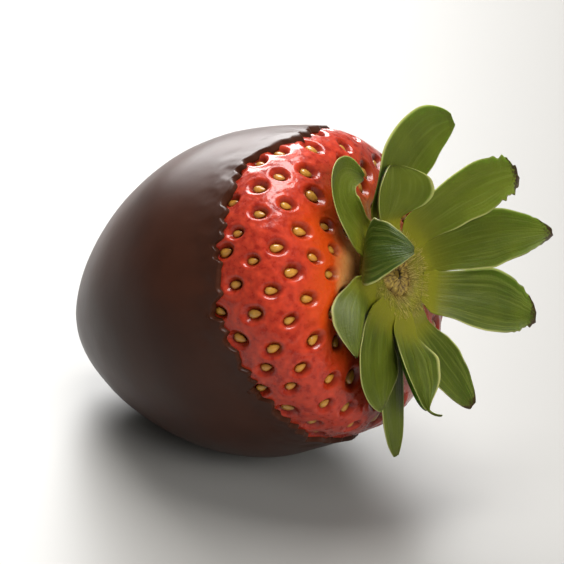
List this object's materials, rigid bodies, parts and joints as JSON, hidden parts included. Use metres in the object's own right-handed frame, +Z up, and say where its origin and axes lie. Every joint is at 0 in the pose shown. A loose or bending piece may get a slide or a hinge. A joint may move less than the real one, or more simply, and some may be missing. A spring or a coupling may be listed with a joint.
{
  "type": "chocolate coated strawberry",
  "caption": "Fresh strawberry dipped in dark chocolate up to a wavy rim, with its red shoulder and green leaves bare, lying on its side.",
  "frame": {"origin": "middle of the bounding box in plan, on the surface that the flat spot of the coat rests on", "axes": "+Z up, +X from the coated tip towards the leaves, seen from above; the fruit's own axis rises 27 degrees towards +X, and -Y is the side that is turned to the viewer"},
  "size_m": [0.0596, 0.041, 0.0455],
  "materials": {
    "chocolate": "smooth, semi-gloss dark chocolate",
    "berry_flesh": "moist, glossy skin with pits and seeds",
    "leaf_green": "soft, finely veined leaf",
    "collar_green": "waxy yellow-green",
    "dry_stem": "dry, fibrous"
  },
  "bodies": {
    "root": {"berry": "berry_flesh", "chocolate_coat": "chocolate", "calyx_collar": "collar_green", "stem_stub": "dry_stem", "sepal_01": "leaf_green", "sepal_02": "leaf_green", "sepal_03": "leaf_green", "sepal_04": "leaf_green", "sepal_05": "leaf_green", "sepal_06": "leaf_green", "sepal_07": "leaf_green", "sepal_08": "leaf_green", "sepal_09": "leaf_green", "sepal_10": "leaf_green", "sepal_11": "leaf_green", "sepal_12": "leaf_green"}
  },
  "joints": []
}
